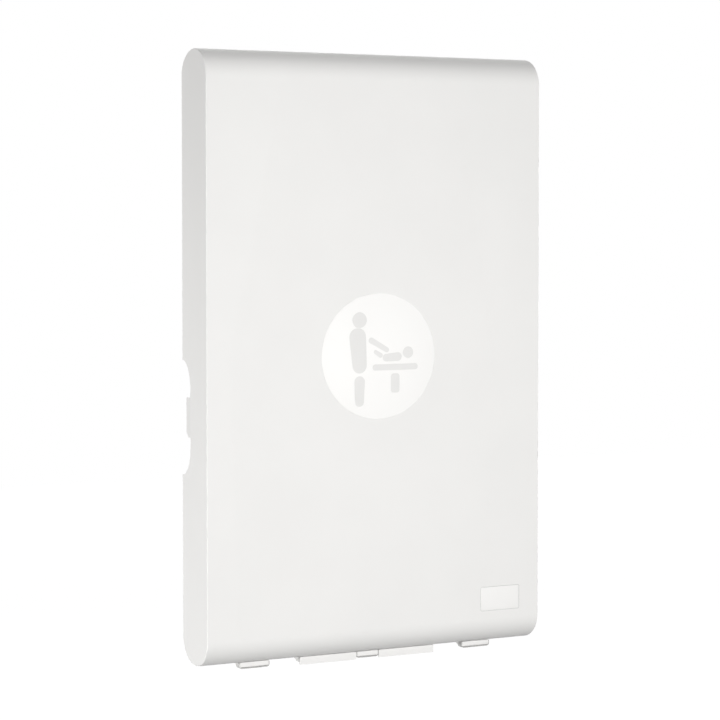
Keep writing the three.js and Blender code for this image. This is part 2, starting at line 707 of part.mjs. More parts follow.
function buckleBody() {
  const half = BUCKLE_LENGTH / 2;
  const cheek = cheekGap + BUCKLE_CHEEK;
  const rise = plateTop + BUCKLE_RISE;
  const outline = roundedRectangle(-half, half, plateTop - BUCKLE_PLATE, rise, BUCKLE_PLATE);
  const inside = box(-half - OVERCUT, half + OVERCUT, plateTop, rise + OVERCUT,
    notchZ - cheekGap, notchZ + cheekGap);
  const bore = disc(LEVER_PIVOT_X, pivotY, LEVER_PIN_RADIUS + FIT);
  return upwards(outline, notchZ - cheek, notchZ + cheek, 0, SMALL_STEPS)
    .subtract(inside)
    .subtract(upwards(bore, notchZ - cheek - OVERCUT, notchZ + cheek + OVERCUT));
}

function camLever() {
  const width = cheekGap - FIT;
  const top = pivotY + LEVER_HUB;
  const tip = LEVER_PIVOT_X - LEVER_LENGTH;
  const round = LEVER_PLATE / 2;
  const shape = new THREE.Shape();
  shape.moveTo(LEVER_PIVOT_X, top);
  shape.lineTo(tip + round, top);
  shape.absarc(tip + round, top - round, round, Math.PI / 2, 1.5 * Math.PI, false);
  shape.lineTo(LEVER_PIVOT_X - LEVER_HUB, top - LEVER_PLATE);
  shape.absarc(LEVER_PIVOT_X, pivotY, LEVER_HUB, Math.PI, 2.5 * Math.PI, false);
  shape.closePath();
  const bore = disc(LEVER_PIVOT_X, pivotY, LEVER_PIN_RADIUS + FIT);
  return upwards(shape, notchZ - width, notchZ + width)
    .subtract(upwards(bore, notchZ - width - OVERCUT, notchZ + width + OVERCUT));
}

function leverPin() {
  const reach = cheekGap + BUCKLE_CHEEK - FIT;
  return upwards(disc(LEVER_PIVOT_X, pivotY, LEVER_PIN_RADIUS), notchZ - reach, notchZ + reach);
}

for (const side of [-1, 1]) {
  const name = side > 0 ? 'right' : 'left';
  addPiece(bedSide, `strap_anchor_${name}`, strapAnchor(side), 'polyethylene');
  addPiece(bedSide, `strap_${name}`, strapHalf(side), 'webbing');
}
addPiece(bedSide, 'buckle_body', buckleBody(), 'nylon');
addPiece(bedSide, 'buckle_lever', camLever(), 'nylon');
addPiece(bedSide, 'buckle_pin', leverPin(), 'steel');

export default station;
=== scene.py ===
import json
import math
import bpy
import bmesh
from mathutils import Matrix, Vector


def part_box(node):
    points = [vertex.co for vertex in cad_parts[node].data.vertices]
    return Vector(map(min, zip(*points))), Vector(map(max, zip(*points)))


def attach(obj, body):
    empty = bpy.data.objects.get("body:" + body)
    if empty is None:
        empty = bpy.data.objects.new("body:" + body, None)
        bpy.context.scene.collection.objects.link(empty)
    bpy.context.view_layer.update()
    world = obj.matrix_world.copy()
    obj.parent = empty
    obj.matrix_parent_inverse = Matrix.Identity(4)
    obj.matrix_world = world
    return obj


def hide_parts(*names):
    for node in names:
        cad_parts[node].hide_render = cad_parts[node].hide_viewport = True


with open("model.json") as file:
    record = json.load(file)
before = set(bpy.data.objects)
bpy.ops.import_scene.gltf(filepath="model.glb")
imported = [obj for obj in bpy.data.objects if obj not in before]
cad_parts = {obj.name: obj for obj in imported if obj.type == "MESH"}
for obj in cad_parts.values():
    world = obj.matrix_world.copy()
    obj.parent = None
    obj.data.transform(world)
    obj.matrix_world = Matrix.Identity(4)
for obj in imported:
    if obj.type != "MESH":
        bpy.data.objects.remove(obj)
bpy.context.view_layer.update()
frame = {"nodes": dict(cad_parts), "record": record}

MM = 0.001

# Sizes in millimetres that the frame's boxes don't give
BED_END_RISE = 35
BED_FRONT_RISE = 41
BED_WALL = 4.5
BED_EDGE_RADIUS = 1.5
BED_RIM_RADIUS = 1.4
NOTCH_DEPTH = 30.5
NOTCH_LENGTH = 165
NOTCH_CENTRE = 353
NOTCH_END_RISE = 42
TRAY_WALL = 4
TRAY_CORNER = 2
TRAY_EDGE = 1
DISH_SIDE = 45
DISH_LOW = 75
DISH_HIGH = 80
DISH_CORNER = 70
DISH_DEPTH = 38
DISH_SLOPE = 56
DISH_LIP = 6
PANEL_WALL = 3
PANEL_CORNER = 42
PANEL_DRAFT = 3
PANEL_EDGE = 6
PANEL_RIB = 4
PANEL_PAD_RADIUS = 45
PANEL_BOSS_RADIUS = 13
PANEL_RECESS_RADIUS = 9
PANEL_RECESS_DEPTH = 7
LEAF_THICKNESS = 2
LEAF_CLEARANCE = 0.3
SIGN_RADIUS = 91.5
SIGN_RISE = -1
SIGN_THICKNESS = 0.35
FIGURE_GAP = 0.005
FIGURE_HEIGHT = 0.12
LABEL_WIDTH = 65
LABEL_HEIGHT = 35
LABEL_CORNER = 1.6
LABEL_X = 203.5
LABEL_RISE = 69.8
LABEL_THICKNESS = 0.6
# The grey sheet under the label is painted shadow; its shift shows more of it on the label's right
LABEL_SHADOW_WIDTH = 0.7
LABEL_SHADOW_SHIFT = 0.4
LABEL_SHADOW_THICKNESS = 0.3
PLATE_GAP = 0.01
PLATE_BEVEL = 0.12
STRAP_THICKNESS = 1.6
STRAP_CORNER = 0.7
WEBBING_RIB = 1.8
WEBBING_WEFT = 1.1
STITCH_PITCH = 3.2
STITCH_RADIUS = 0.42
STITCH_LIFT = 0.168
STITCH_MARGIN = 4
RIDGE_START = 3
RIDGE_PITCH = 3
RIDGE_MARGIN = 3
RIDGE_RADIUS = 0.8
RIDGE_SINK = 0.1
RIDGE_BEVEL = 0.15
SCREW_RADIUS = 2.9
SCREW_HEAD = 3.6
SCREW_HEAD_RADIUS = 6
SCREW_HEAD_EDGE = 1.1
SCREW_HOLE_RADIUS = 3.2
CROSS_LENGTH = 6.6
CROSS_WIDTH = 1.4
CROSS_DEPTH = 1.9
SOLID_BEVEL = 0.35
SOLID_WELD = 0.01
MERGE_DISTANCE = 0.001
OVERCUT = 2
FLOOR_DROP = 1290
FLOOR_REACH = 9000

# Angles in degrees
BEVEL_ANGLE = 35
SMOOTH_ANGLE = 38
SOLID_BEVEL_ANGLE = 40
RIDGE_BEVEL_ANGLE = 50
STITCH_SMOOTH_ANGLE = 60
SCREW_DOME_END = 84

# Counts
STRAP_STEPS = 72
RIDGES = 4

# Shares: a stitch's gap in its pitch, and a thread's radius at places along its length
STITCH_GAP = 0.12
THREAD_TAPER = ((0, 0.35), (0.15, 0.9), (0.5, 1), (0.85, 0.9), (1, 0.35))


def in_mm(corners):
    return [[value / MM for value in corner] for corner in corners]


(_, bed_front, bed_bottom), (bed_half, bed_back, bed_top) = in_mm(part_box("bed_shell"))
bed_mid = (bed_back + bed_front) / 2
notch_z = bed_bottom + NOTCH_CENTRE
plate_back = bed_front - PLATE_GAP


# Mesh helpers

def make_object(name, points, faces):
    mesh = bpy.data.meshes.new(name)
    mesh.from_pydata([Vector(p) * MM for p in points], [], faces)
    mesh.validate()
    piece = bpy.data.objects.new(name, mesh)
    bpy.context.scene.collection.objects.link(piece)
    tidy_normals(piece)
    return piece


def tidy_normals(piece):
    work = bmesh.new()
    work.from_mesh(piece.data)
    bmesh.ops.remove_doubles(work, verts=work.verts, dist=MERGE_DISTANCE * MM)
    bmesh.ops.recalc_face_normals(work, faces=work.faces)
    work.to_mesh(piece.data)
    work.free()


def bake_modifiers(piece):
    graph = bpy.context.evaluated_depsgraph_get()
    baked = bpy.data.meshes.new_from_object(piece.evaluated_get(graph))
    piece.modifiers.clear()
    old = piece.data
    piece.data = baked
    bpy.data.meshes.remove(old)


def boolean(piece, tool, operation="DIFFERENCE"):
    """Cuts a tool out of a piece, or adds it. The tool is used up."""
    step = piece.modifiers.new("boolean", "BOOLEAN")
    step.object = tool
    step.operation = operation
    step.solver = "EXACT"
    bake_modifiers(piece)
    bpy.data.objects.remove(tool)


def soften(piece, width, segments=2, angle=BEVEL_ANGLE):
    """Rounds the edges that turn by more than an angle."""
    step = piece.modifiers.new("bevel", "BEVEL")
    step.width = width * MM
    step.segments = segments
    step.limit_method = "ANGLE"
    step.angle_limit = math.radians(angle)
    step.use_clamp_overlap = True
    bake_modifiers(piece)
    smooth(piece)


def smooth(piece, angle=SMOOTH_ANGLE):
    piece.data.shade_smooth()
    piece.data.set_sharp_from_angle(angle=math.radians(angle))


def join(name, pieces):
    """One object from several, which are used up."""
    work = bmesh.new()
    for piece in pieces:
        work.from_mesh(piece.data)
        bpy.data.objects.remove(piece)
    mesh = bpy.data.meshes.new(name)
    work.to_mesh(mesh)
    work.free()
    joined = bpy.data.objects.new(name, mesh)
    bpy.context.scene.collection.objects.link(joined)
    return joined


def loft(name, rings):
    """A closed skin through rings of equally many points, capped at both ends."""
    count = len(rings[0])
    points = [p for ring in rings for p in ring]
    faces = []
    for row in range(len(rings) - 1):
        for i in range(count):
            a, b = row * count + i, row * count + (i + 1) % count
            faces.append((a, b, b + count, a + count))
    faces.append(tuple(reversed(range(count))))
    last = (len(rings) - 1) * count
    faces.append(tuple(range(last, last + count)))
    return make_object(name, points, faces)


def along_x(name, outline, x0, x1):
    return loft(name, [[(x, y, z) for y, z in outline] for x in (x0, x1)])


def towards_front(name, outline, y0, y1):
    return loft(name, [[(x, y, z) for x, z in outline] for y in (y0, y1)])


def upwards(name, outline, z0, z1):
    return loft(name, [[(x, y, z) for x, y in outline] for z in (z0, z1)])


def block(name, x0, x1, y0, y1, z0, z1):
    return along_x(name, [(y0, z0), (y1, z0), (y1, z1), (y0, z1)], x0, x1)


def arc(u, v, radius_u, radius_v, start, end, steps):
    """Points from one angle to another, in degrees, both ends included."""
    points = []
    for i in range(steps + 1):
        angle = math.radians(start + (end - start) * i / steps)
        points.append((u + radius_u * math.cos(angle), v + radius_v * math.sin(angle)))
    return points


def circle(u, v, radius, steps=64):
    return arc(u, v, radius, radius, 0, 360, steps)[:-1]


def rounded_rectangle(u0, u1, v0, v1, radius, steps=8):
    return (arc(u1 - radius, v0 + radius, radius, radius, -90, 0, steps)
            + arc(u1 - radius, v1 - radius, radius, radius, 0, 90, steps)
            + arc(u0 + radius, v1 - radius, radius, radius, 90, 180, steps)
            + arc(u0 + radius, v0 + radius, radius, radius, 180, 270, steps))


def ring(half, low, high, corner, y, steps=18):
    """A rounded rectangle that faces the front, as points in space."""
    return [(x, y, z) for x, z in rounded_rectangle(-half, half, low, high, corner, steps)]


# Material helpers

def new_material(name, base, roughness, metallic=0.0):
    material = bpy.data.materials.new(name)
    material.use_nodes = True
    shader = material.node_tree.nodes["Principled BSDF"]
    shader.inputs["Base Color"].default_value = (*base, 1)
    shader.inputs["Roughness"].default_value = roughness
    shader.inputs["Metallic"].default_value = metallic
    return material, shader


def noise(material, scale, detail):
    tree = material.node_tree
    place = tree.nodes.new("ShaderNodeTexCoord")
    texture = tree.nodes.new("ShaderNodeTexNoise")
    texture.inputs["Scale"].default_value = scale
    texture.inputs["Detail"].default_value = detail
    tree.links.new(place.outputs["Object"], texture.inputs["Vector"])
    return texture.outputs["Fac"]


def stripes(material, direction, pitch):
    """Stripes across one axis, a given pitch in millimetres apart."""
    radians_per_scale = 20
    tree = material.node_tree
    place = tree.nodes.new("ShaderNodeTexCoord")
    texture = tree.nodes.new("ShaderNodeTexWave")
    texture.bands_direction = direction
    texture.inputs["Scale"].default_value = 2 * math.pi / (radians_per_scale * pitch * MM)
    tree.links.new(place.outputs["Object"], texture.inputs["Vector"])
    return texture.outputs["Fac"]


def spread(material, source, low, high, socket):
    """Maps a 0 to 1 texture to a range of numbers on a shader socket."""
    tree = material.node_tree
    remap = tree.nodes.new("ShaderNodeMapRange")
    remap.inputs["To Min"].default_value = low
    remap.inputs["To Max"].default_value = high
    tree.links.new(source, remap.inputs["Value"])
    tree.links.new(remap.outputs["Result"], socket)


def tint(material, source, dark, light, socket, start=0.3, end=0.7):
    """Maps a 0 to 1 texture to colours between two ends."""
    tree = material.node_tree
    ramp = tree.nodes.new("ShaderNodeValToRGB")
    ramp.color_ramp.elements[0].position = start
    ramp.color_ramp.elements[0].color = (*dark, 1)
    ramp.color_ramp.elements[1].position = end
    ramp.color_ramp.elements[1].color = (*light, 1)
    tree.links.new(source, ramp.inputs["Fac"])
    tree.links.new(ramp.outputs["Color"], socket)


def bump(material, shader, layers):
    """Chains bumps of (height socket, strength, distance in mm)."""
    tree = material.node_tree
    normal = None
    for height, strength, distance in layers:
        node = tree.nodes.new("ShaderNodeBump")
        node.inputs["Strength"].default_value = strength
        node.inputs["Distance"].default_value = distance * MM
        tree.links.new(height, node.inputs["Height"])
        if normal:
            tree.links.new(normal, node.inputs["Normal"])
        normal = node.outputs["Normal"]
    tree.links.new(normal, shader.inputs["Normal"])


def grey(value):
    """A faintly warm grey."""
    return (value * 1.006, value * 0.998, value * 0.98)


def moulded(name, dark, light, rough=(0.42, 0.56), grain=0.12):
    """Moulded plastic: faint mottling, a fine grain and a slow swell."""
    material, shader = new_material(name, light, rough[1])
    mottle = noise(material, scale=9.0, detail=4.0)
    fine = noise(material, scale=2600.0, detail=2.0)
    swell = noise(material, scale=5.0, detail=1.0)
    tint(material, mottle, dark, light, shader.inputs["Base Color"])
    spread(material, mottle, rough[0], rough[1], shader.inputs["Roughness"])
    bump(material, shader, [(swell, 0.25, 1.2), (fine, grain, 0.08)])
    return material


def finish_piece(piece, body, material, slot, *nodes):
    """Gives a piece its material and its body, and hides the nodes that it stands for. The slot argument
    is not used.
    """
    piece.data.materials.clear()
    piece.data.materials.append(material)
    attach(piece, body)
    if nodes:
        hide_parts(*nodes)


# Camera at the photograph's viewing angle

CAMERA_PLACE = (-1447.6, -2991.9, 195.7)
CAMERA_YAW = 26.08
CAMERA_PITCH = 2.11
CAMERA_LENS = 111.27
CAMERA_SENSOR = 36
CAMERA_SHIFT = -0.0792


def make_camera():
    data = bpy.data.cameras.new("camera")
    data.lens = CAMERA_LENS
    data.sensor_width = CAMERA_SENSOR
    data.shift_y = CAMERA_SHIFT
    camera = bpy.data.objects.new("camera", data)
    bpy.context.scene.collection.objects.link(camera)
    camera.location = Vector(CAMERA_PLACE) * MM
    camera.rotation_euler = (math.radians(90 - CAMERA_PITCH), 0, math.radians(-CAMERA_YAW))
    bpy.context.scene.camera = camera


make_camera()


# Bed shell: a section with elliptical ends, fuller behind, hollowed from the wall side

shell_white = moulded("shell_white", grey(0.835), grey(0.855))


def bed_outline(inset, steps=36):
    depth = (bed_back - bed_front) / 2 - inset

    def quarter(level, rise, start):
        return arc(bed_mid, level, depth, rise - inset, start, start + 90, steps)

    return (quarter(bed_bottom + BED_FRONT_RISE, BED_FRONT_RISE, 180)[:-1]
            + quarter(bed_bottom + BED_END_RISE, BED_END_RISE, 270)
            + quarter(bed_top - BED_END_RISE, BED_END_RISE, 0)[:-1]
            + quarter(bed_top - BED_FRONT_RISE, BED_FRONT_RISE, 90))


def notch_outline(steps=24):
    low, high = notch_z - NOTCH_LENGTH / 2, notch_z + NOTCH_LENGTH / 2
    return ([(bed_back + OVERCUT, low)]
            + arc(bed_back, low + NOTCH_END_RISE, NOTCH_DEPTH, NOTCH_END_RISE, 270, 180, steps)
            + arc(bed_back, high - NOTCH_END_RISE, NOTCH_DEPTH, NOTCH_END_RISE, 180, 90, steps)
            + [(bed_back + OVERCUT, high)])


def rounded_body(steps=8):
    """The bed's section from side to side, with its side edges rounded over."""
    edge = BED_EDGE_RADIUS
    rounding = []
    for reach, inset in arc(edge, edge, edge, edge, 180, 270, steps):
        rounding.append((reach - bed_half, inset))
    rounding += [(-x, inset) for x, inset in reversed(rounding)]
    return loft("shell", [[(x, y, z) for y, z in bed_outline(inset)] for x, inset in rounding])


def make_shell():
    inner = bed_half - BED_WALL
    shell = rounded_body()
    boolean(shell, along_x("cavity", bed_outline(BED_WALL), -inner, inner))
    boolean(shell, block("mouth", -inner, inner, bed_mid, bed_back + OVERCUT,
                         bed_bottom + BED_END_RISE, bed_top - BED_END_RISE))
    boolean(shell, along_x("notches", notch_outline(), -bed_half - OVERCUT, bed_half + OVERCUT))
    soften(shell, BED_RIM_RADIUS, segments=4)
    finish_piece(shell, "bed", shell_white, "white_plastic", "bed_shell")


make_shell()


# Changing tray: one skin from the dish's underside, round the border and down into the dish

tray_white = moulded("tray_white", grey(0.82), grey(0.85), (0.36, 0.5), 0.18)


def make_tray():
    (_, _, tray_low), (tray_half, rim, tray_high) = in_mm(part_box("bed_tray"))
    half = bed_half - DISH_SIDE
    low, high = bed_bottom + DISH_LOW, bed_top - DISH_HIGH

    def section(inset, y):
        return ring(half - inset, low + inset, high - inset, DISH_CORNER - inset, y)

    def border(inset, y):
        return ring(tray_half - inset, tray_low + inset, tray_high - inset, TRAY_CORNER, y)

    lip = arc(-DISH_LIP, rim - DISH_LIP, DISH_LIP, DISH_LIP, 90, 0, steps=6)
    bowl = arc(DISH_SLOPE, rim - DISH_LIP, DISH_SLOPE, DISH_DEPTH - DISH_LIP, 180, 270, steps=18)[1:]
    under = [(inset - TRAY_WALL, y - TRAY_WALL) for inset, y in reversed(lip[-1:] + bowl)]
    rings = [section(inset, y) for inset, y in under]
    rings.append(section(-2 * TRAY_WALL, rim - TRAY_WALL))
    rings += [border(0, rim - TRAY_WALL), border(0, rim - TRAY_EDGE), border(TRAY_EDGE, rim)]
    rings += [section(inset, y) for inset, y in lip + bowl]
    tray = loft("tray", rings)
    smooth(tray)
    finish_piece(tray, "bed", tray_white, "white_plastic", "bed_tray")


make_tray()


# Back panel: a cover with drafted sides, ribs and bosses behind, and screw recesses in front

panel_white = moulded("panel_white", grey(0.8), grey(0.835), (0.4, 0.55), 0.2)
(_, panel_front, panel_low), (panel_half, _, panel_high) = in_mm(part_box("back_panel"))


def screw_place(node):
    """A wall screw's middle, across and up."""
    (x0, _, z0), (x1, _, z1) = in_mm(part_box(node))
    return (x0 + x1) / 2, (z0 + z1) / 2


def panel_skin(wall):
    """Rings up the panel's drafted side and over its front edge, set in by a wall."""
    def section(inset, y):
        return ring(panel_half - inset, panel_low + inset, panel_high - inset, PANEL_CORNER - inset, y)

    edge = arc(PANEL_DRAFT + PANEL_EDGE, panel_front + wall + PANEL_EDGE,
               PANEL_EDGE, PANEL_EDGE, 180, 270, steps=8)
    return [section(wall, 0)] + [section(wall + shrink, y) for shrink, y in edge]


def panel_additions():
    inside = panel_front + PANEL_WALL / 2
    margin = PANEL_WALL + PANEL_DRAFT
    rib = PANEL_RIB / 2
    additions = [
        block("rib", -rib, rib, inside, 0, panel_low + margin, panel_high - margin),
        block("rib", margin - panel_half, panel_half - margin, inside, 0, -rib, rib),
        towards_front("pad", circle(0, 0, PANEL_PAD_RADIUS), 0, -PANEL_WALL),
    ]
    for node in frame["nodes"]:
        if node.startswith("panel_screw"):
            boss = circle(*screw_place(node), PANEL_BOSS_RADIUS)
            additions.append(towards_front("boss", boss, 0, inside))
    return additions


def panel_cuts():
    before = panel_front - OVERCUT
    cuts = []
    for node in frame["nodes"]:
        if node.startswith("panel_screw"):
            hole = circle(*screw_place(node), SCREW_HOLE_RADIUS, steps=32)
            recess = circle(*screw_place(node), PANEL_RECESS_RADIUS, steps=48)
            cuts.append(towards_front("hole", hole, OVERCUT, before))
            cuts.append(towards_front("recess", recess, panel_front + PANEL_RECESS_DEPTH, before))
        if node.startswith("hinge_bracket"):
            (left, _, _), (right, _, top) = in_mm(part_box(node))
            cuts.append(block("leaf", left - LEAF_CLEARANCE, right + LEAF_CLEARANCE,
                              -LEAF_THICKNESS - LEAF_CLEARANCE, OVERCUT,
                              panel_low - OVERCUT, top + LEAF_CLEARANCE))
    return cuts


def make_panel():
    panel = loft("panel", list(reversed(panel_skin(PANEL_WALL))) + panel_skin(0))
    for tool in panel_additions():
        boolean(panel, tool, "UNION")
    for tool in panel_cuts():
        boolean(panel, tool)
    smooth(panel)
    finish_piece(panel, "wall_unit", panel_white, "white_plastic", "back_panel")


make_panel()


# Sign on the front: a thin disc with a plain figure at a changing table

def capsule(x0, z0, x1, z1, near, far, steps=20):
    """The outline of a bar with round ends of two radii."""
    heading = math.degrees(math.atan2(z1 - z0, x1 - x0))
    return (arc(x0, z0, near, near, heading + 90, heading + 270, steps)
            + arc(x1, z1, far, far, heading - 90, heading + 90, steps))


def make_sign():
    sign_white = moulded("sign_white", grey(0.945), grey(0.96), (0.36, 0.46), 0.06)
    sign_grey = moulded("sign_grey", grey(0.785), grey(0.81), (0.4, 0.5), 0.08)
    face = plate_back - SIGN_THICKNESS
    disc = towards_front("sign_disc", circle(0, SIGN_RISE, SIGN_RADIUS, steps=160), plate_back, face)
    soften(disc, PLATE_BEVEL)
    finish_piece(disc, "bed", sign_white, "white_plastic")
    figures = {
        "sign_adult_head": circle(-31, 53, 11.5, steps=48),
        "sign_adult_body": capsule(-34, 28, -31, -13, 13.5, 11.5),
        "sign_adult_legs": capsule(-31, -37, -31, -66, 8.5, 7),
        "sign_adult_arm": capsule(-12, 23, 13, 9, 4.4, 3.8),
        "sign_table": rounded_rectangle(-10, 64, -21, -12, 4.2),
        "sign_table_leg": rounded_rectangle(20, 34, -54, -26, 4.2),
        "sign_baby_head": circle(48, 4.5, 8.5, steps=40),
        "sign_baby_body": capsule(31, -1.5, 12, -2.5, 6.5, 5.5),
        "sign_baby_leg": capsule(3, 1, -5, 6, 3.6, 3),
    }
    for name, outline in figures.items():
        lifted = [(x, z + SIGN_RISE) for x, z in outline]
        figure = towards_front(name, lifted, face - FIGURE_GAP, face - FIGURE_HEIGHT)
        smooth(figure)
        finish_piece(figure, "bed", sign_grey, "white_plastic")


make_sign()


# Bare label plate at the lower right, on a thin grey sheet that shows round it as painted shadow, more
# on its right

def make_plate(name, x, grow, back, front, material):
    width, height = LABEL_WIDTH / 2 + grow, LABEL_HEIGHT / 2 + grow
    z = bed_bottom + LABEL_RISE
    outline = rounded_rectangle(x - width, x + width, z - height, z + height, LABEL_CORNER + grow)
    plate = towards_front(name, outline, back, front)
    soften(plate, PLATE_BEVEL)
    finish_piece(plate, "bed", material, "white_plastic")


def make_label():
    label_plate = moulded("label_plate", grey(0.885), grey(0.905), (0.26, 0.36), 0.05)
    # Mid-grey sheet under the label: painted shadow of the label, not a printed border
    label_shadow = moulded("label_shadow", grey(0.56), grey(0.61), (0.45, 0.55), 0.1)
    shadow_face = plate_back - LABEL_SHADOW_THICKNESS
    make_plate("label_shadow", LABEL_X + LABEL_SHADOW_SHIFT, LABEL_SHADOW_WIDTH,
               plate_back, shadow_face, label_shadow)
    make_plate("label_plate", LABEL_X, 0,
               shadow_face - PLATE_GAP, plate_back - LABEL_THICKNESS, label_plate)


make_label()


# Straps: webbing that lies on the anchor's foot and sags into the dish, sewn down over the foot

def make_webbing():
    material, shader = new_material("strap_webbing", (0.12, 0.128, 0.138), 0.85)
    shader.inputs["Sheen Weight"].default_value = 0.25
    shader.inputs["Sheen Roughness"].default_value = 0.5
    yarn = noise(material, scale=700.0, detail=4.0)
    tint(material, yarn, (0.085, 0.092, 0.1), (0.16, 0.17, 0.18), shader.inputs["Base Color"])
    spread(material, yarn, 0.75, 0.95, shader.inputs["Roughness"])
    ribs, weft = stripes(material, "Z", WEBBING_RIB), stripes(material, "X", WEBBING_WEFT)
    bump(material, shader, [(ribs, 0.7, 0.25), (weft, 0.5, 0.15), (yarn, 0.3, 0.1)])
    return material


def thread_rings(start, end, sides=6):
    """Rings of a straight thread with tapered ends, between two points."""
    out = Vector((0, 1, 0))
    across = (end - start).normalized().cross(out).normalized()
    rings = []
    for share, size in THREAD_TAPER:
        middle = start.lerp(end, share)
        outline = circle(0, 0, STITCH_RADIUS * size, sides)
        rings.append([middle + across * u + out * v for u, v in outline])
    return rings


def seam(start, end):
    """Stitches along a line, as separate threads."""
    start, end = Vector(start), Vector(end)
    count = max(1, round((end - start).length / STITCH_PITCH))
    stitches = []
    for i in range(count):
        near = start.lerp(end, (i + STITCH_GAP) / count)
        far = start.lerp(end, (i + 1 - STITCH_GAP) / count)
        stitches.append(loft("stitch", thread_rings(near, far)))
    return stitches


def make_stitches(hand, near, far, low, high, y, thread):
    """A sewn box with a cross in it."""
    a, b, c, d = (near, y, low), (far, y, low), (far, y, high), (near, y, high)
    threads = seam(a, b) + seam(b, c) + seam(c, d) + seam(d, a) + seam(a, c) + seam(d, b)
    stitches = join(f"strap_stitches_{hand}", threads)
    smooth(stitches, STITCH_SMOOTH_ANGLE)
    finish_piece(stitches, "bed", thread, "webbing")


def make_strap(hand, side, webbing, thread):
    (x0, y0, z0), (x1, y1, z1) = in_mm(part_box(f"strap_{hand}"))
    (foot_x0, _, _), (foot_x1, _, _) = in_mm(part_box(f"strap_anchor_{hand}"))
    outer, inner = max(abs(x0), abs(x1)), min(abs(x0), abs(x1))
    free = min(abs(foot_x0), abs(foot_x1))
    half = STRAP_THICKNESS / 2
    level = y1 - half
    sag = y1 - y0 - STRAP_THICKNESS
    section = rounded_rectangle(-half, half, z0, z1, STRAP_CORNER, steps=4)
    rings = []
    for step in range(STRAP_STEPS + 1):
        x = outer + (inner - outer) * step / STRAP_STEPS
        share = 1 - min(1, x / free) ** 2
        slope = 4 * sag * share * x / free ** 2 if x < free else 0
        across = Vector((-slope * side, 1, 0)).normalized()
        middle = Vector((side * x, level - sag * share ** 2, 0))
        rings.append([middle + across * u + Vector((0, 0, v)) for u, v in section])
    strap = loft(f"webbing_{hand}", rings)
    smooth(strap)
    finish_piece(strap, "bed", webbing, "webbing", f"strap_{hand}")
    make_stitches(hand, side * (free + STITCH_MARGIN), side * (outer - STITCH_MARGIN),
                  z0 + STITCH_MARGIN, z1 - STITCH_MARGIN, y1 + STITCH_LIFT, thread)


def make_straps():
    webbing = make_webbing()
    thread = moulded("strap_thread", grey(0.28), grey(0.36), (0.7, 0.85), 0.3)
    for hand, side in (("left", -1), ("right", 1)):
        make_strap(hand, side, webbing, thread)


make_straps()


# Finishes of the construction's own solids

def powder_coat():
    material, shader = new_material("powder_coat", grey(0.84), 0.36)
    peel = noise(material, scale=900.0, detail=2.0)
    spread(material, peel, 0.3, 0.44, shader.inputs["Roughness"])
    bump(material, shader, [(peel, 0.3, 0.06)])
    return material


def bright_metal(name, dark, light, scratch):
    material, shader = new_material(name, light, 0.3, metallic=1.0)
    cloud = noise(material, scale=260.0, detail=4.0)
    fine = noise(material, scale=1900.0, detail=2.0)
    tint(material, cloud, dark, light, shader.inputs["Base Color"])
    spread(material, cloud, 0.24, 0.42, shader.inputs["Roughness"])
    bump(material, shader, [(fine, scratch, 0.02)])
    return material


finishes = {
    "white_plastic": tray_white,
    "painted_steel": powder_coat(),
    "steel": bright_metal("zinc_steel", (0.5, 0.51, 0.53), (0.68, 0.69, 0.7), 0.2),
    "bronze": bright_metal("bearing_bronze", (0.42, 0.27, 0.11), (0.6, 0.42, 0.2), 0.15),
    "dark_plastic": moulded("damper_black", grey(0.03), grey(0.045)),
    "grey_plastic": moulded("buckle_grey", grey(0.4), grey(0.46), (0.35, 0.5)),
    "rubber": moulded("pad_rubber", grey(0.035), grey(0.06), (0.7, 0.85), 0.3),
    "webbing": moulded("plain_webbing", grey(0.08), grey(0.1), (0.8, 0.9)),
}
toe_rubber = moulded("toe_rubber", grey(0.58), grey(0.65), (0.6, 0.75), 0.3)


def smooth_group():
    """A modifier that drops split normals and smooths edges below an angle."""
    tree = bpy.data.node_groups.new("smooth_edges", "GeometryNodeTree")
    tree.is_modifier = True
    tree.interface.new_socket("Geometry", in_out="INPUT", socket_type="NodeSocketGeometry")
    tree.interface.new_socket("Geometry", in_out="OUTPUT", socket_type="NodeSocketGeometry")
    start = tree.nodes.new("NodeGroupInput")
    end = tree.nodes.new("NodeGroupOutput")
    drop = tree.nodes.new("GeometryNodeRemoveAttribute")
    drop.inputs["Name"].default_value = "custom_normal"
    faces = tree.nodes.new("GeometryNodeSetShadeSmooth")
    faces.domain = "FACE"
    edges = tree.nodes.new("GeometryNodeSetShadeSmooth")
    edges.domain = "EDGE"
    angle = tree.nodes.new("GeometryNodeInputMeshEdgeAngle")
    below = tree.nodes.new("FunctionNodeCompare")
    below.operation = "LESS_THAN"
    below.inputs["B"].default_value = math.radians(SMOOTH_ANGLE)
    tree.links.new(start.outputs["Geometry"], drop.inputs["Geometry"])
    tree.links.new(drop.outputs["Geometry"], faces.inputs["Geometry"])
    tree.links.new(faces.outputs["Geometry"], edges.inputs["Geometry"])
    tree.links.new(angle.outputs["Unsigned Angle"], below.inputs["A"])
    tree.links.new(below.outputs["Result"], edges.inputs["Shade Smooth"])
    tree.links.new(edges.outputs["Geometry"], end.inputs["Geometry"])
    return tree


def dress_nodes():
    slots = {row["node"]: row["material_slot"] for row in frame["record"]["subparts"]}
    rounding = smooth_group()
    for name, node in frame["nodes"].items():
        material = toe_rubber if name.startswith("toe_pad") else finishes[slots[name]]
        node.data.materials.clear()
        node.data.materials.append(material)
        weld = node.modifiers.new("weld", "WELD")
        weld.merge_threshold = SOLID_WELD * MM
        bevel = node.modifiers.new("bevel", "BEVEL")
        bevel.width = SOLID_BEVEL * MM
        bevel.segments = 2
        bevel.limit_method = "ANGLE"
        bevel.angle_limit = math.radians(SOLID_BEVEL_ANGLE)
        node.modifiers.new("smooth", "NODES").node_group = rounding
        flat = node.modifiers.new("flat_faces", "WEIGHTED_NORMAL")
        flat.keep_sharp = True


dress_nodes()


# Grip ridges across the buckle lever's tip

